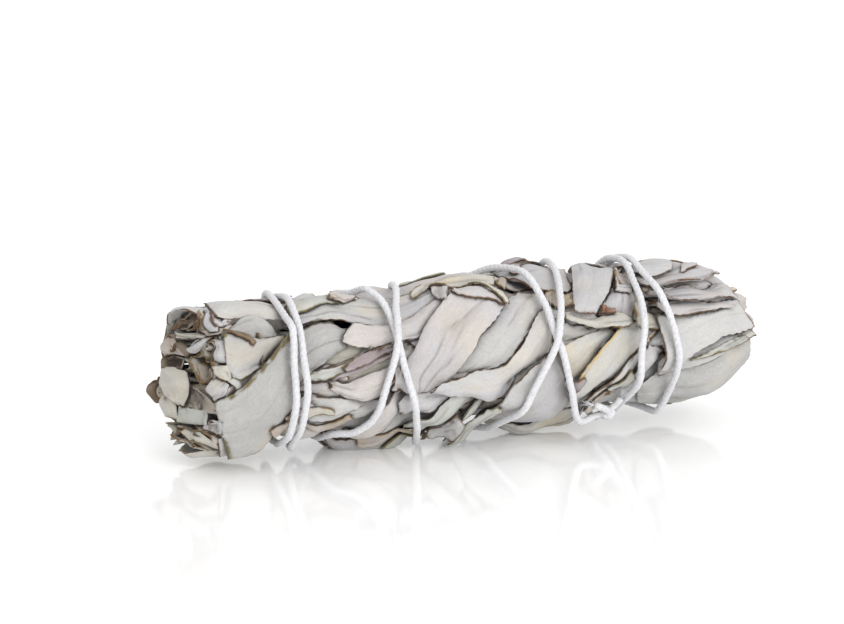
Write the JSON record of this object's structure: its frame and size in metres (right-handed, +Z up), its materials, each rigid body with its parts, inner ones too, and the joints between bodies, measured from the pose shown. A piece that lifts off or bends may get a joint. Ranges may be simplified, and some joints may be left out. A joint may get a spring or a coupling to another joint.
{
  "type": "sage smudge stick",
  "caption": "Bundle of dried white sage, rolled sprigs wrapped in broad felted leaves and bound with crossing turns of cotton string.",
  "frame": {"origin": "middle of the stick's box, on the plane it rests on", "axes": "+X along the stick from its cut butt end to its leaf tips, +Z up, the front faces -Y"},
  "size_m": [0.1039, 0.0314, 0.0298],
  "materials": {
    "sage_leaf": "matte, felted",
    "sage_sprig": "matte, felted",
    "cotton_string": "matte, twisted"
  },
  "bodies": {
    "root": {"wrap_leaf_01": "sage_leaf", "wrap_leaf_02": "sage_leaf", "wrap_leaf_03": "sage_leaf", "wrap_leaf_04": "sage_leaf", "wrap_leaf_05": "sage_leaf", "wrap_leaf_06": "sage_leaf", "wrap_leaf_07": "sage_leaf", "wrap_leaf_08": "sage_leaf", "wrap_leaf_09": "sage_leaf", "wrap_leaf_10": "sage_leaf", "wrap_leaf_11": "sage_leaf", "wrap_leaf_12": "sage_leaf", "wrap_leaf_13": "sage_leaf", "wrap_leaf_14": "sage_leaf", "wrap_leaf_15": "sage_leaf", "wrap_leaf_16": "sage_leaf", "wrap_leaf_17": "sage_leaf", "wrap_leaf_18": "sage_leaf", "wrap_leaf_19": "sage_leaf", "wrap_leaf_20": "sage_leaf", "wrap_leaf_21": "sage_leaf", "wrap_leaf_22": "sage_leaf", "wrap_leaf_23": "sage_leaf", "wrap_leaf_24": "sage_leaf", "wrap_leaf_25": "sage_leaf", "wrap_leaf_26": "sage_leaf", "wrap_leaf_27": "sage_leaf", "wrap_leaf_28": "sage_leaf", "wrap_leaf_29": "sage_leaf", "wrap_leaf_30": "sage_leaf", "wrap_leaf_31": "sage_leaf", "wrap_leaf_32": "sage_leaf", "wrap_leaf_33": "sage_leaf", "wrap_leaf_34": "sage_leaf", "wrap_leaf_35": "sage_leaf", "wrap_leaf_36": "sage_leaf", "wrap_leaf_37": "sage_leaf", "wrap_leaf_38": "sage_leaf", "wrap_leaf_39": "sage_leaf", "wrap_leaf_40": "sage_leaf", "wrap_leaf_41": "sage_leaf", "wrap_leaf_42": "sage_leaf", "wrap_leaf_43": "sage_leaf", "wrap_leaf_44": "sage_leaf", "wrap_leaf_45": "sage_leaf", "wrap_leaf_46": "sage_leaf", "wrap_leaf_47": "sage_leaf", "wrap_leaf_48": "sage_leaf", "wrap_leaf_49": "sage_leaf", "wrap_leaf_50": "sage_leaf", "wrap_leaf_51": "sage_leaf", "sprig_1": "sage_sprig", "sprig_2": "sage_sprig", "sprig_3": "sage_sprig", "sprig_4": "sage_sprig", "sprig_5": "sage_sprig", "sprig_6": "sage_sprig", "sprig_7": "sage_sprig", "cotton_string": "cotton_string"}
  },
  "joints": []
}
